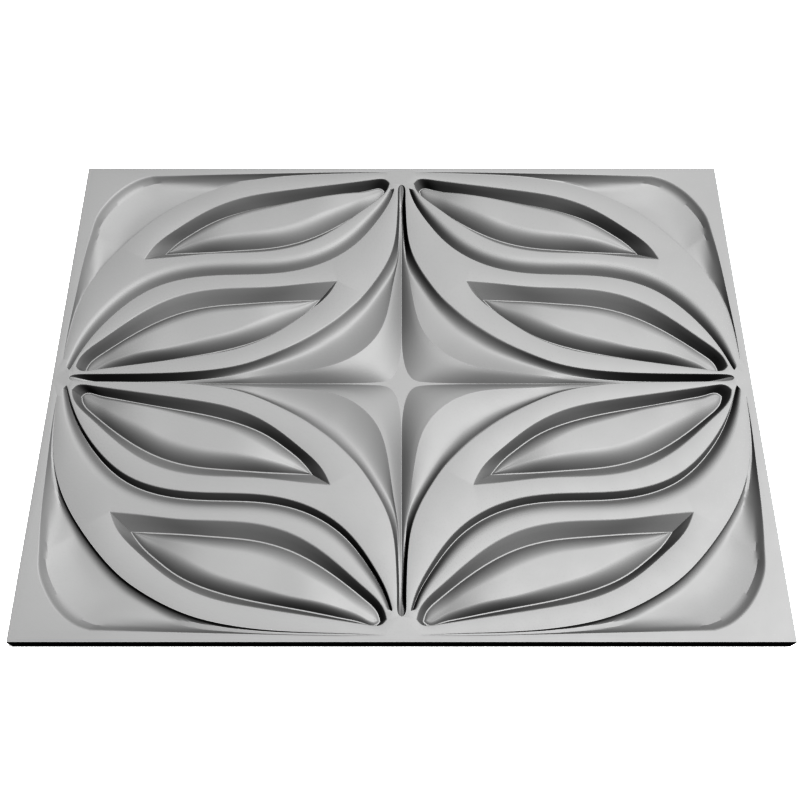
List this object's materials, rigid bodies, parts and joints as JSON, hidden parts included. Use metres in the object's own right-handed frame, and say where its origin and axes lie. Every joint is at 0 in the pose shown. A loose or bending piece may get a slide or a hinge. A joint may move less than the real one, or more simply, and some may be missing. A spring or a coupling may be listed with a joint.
{
  "type": "carved wall panel",
  "caption": "Flat rectangular wall panel with a border and a carved relief of leaf-shaped pockets in mirrored petals around a sunken star.",
  "frame": {"origin": "centre of the flat back face", "axes": "+X along the long side, +Y along the short side, +Z out of the carved face; the panel lies on its back"},
  "size_m": [0.8, 0.6, 0.02],
  "materials": {
    "painted_board": "fibreboard with a light grey satin primer"
  },
  "bodies": {
    "root": {"wall_panel": "painted_board"}
  },
  "joints": []
}
